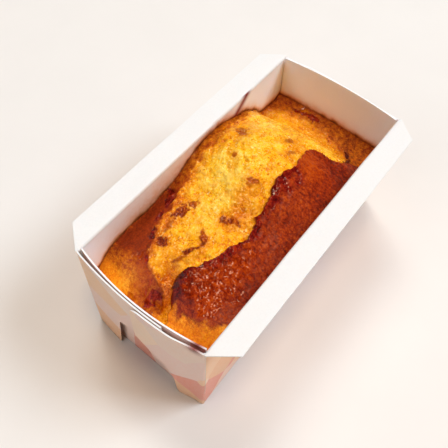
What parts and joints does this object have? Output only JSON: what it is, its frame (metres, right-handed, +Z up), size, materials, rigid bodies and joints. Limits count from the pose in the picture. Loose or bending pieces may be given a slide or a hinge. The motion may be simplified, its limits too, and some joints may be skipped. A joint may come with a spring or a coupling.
{
  "type": "orange loaf cake",
  "caption": "Domed loaf cake with a browned top burst open along its length, still in the folded card case it was baked in; stands on the case's flat base.",
  "frame": {"origin": "bottom centre of the bounding box, on the surface that the case stands on", "axes": "+X along the loaf, +Y across it towards the side where the pale crumb has risen, +Z up"},
  "size_m": [0.1446, 0.0812, 0.0677],
  "materials": {
    "cake": "satin",
    "case": "matte"
  },
  "bodies": {
    "root": {"cake": "cake", "case": "case"}
  },
  "joints": []
}
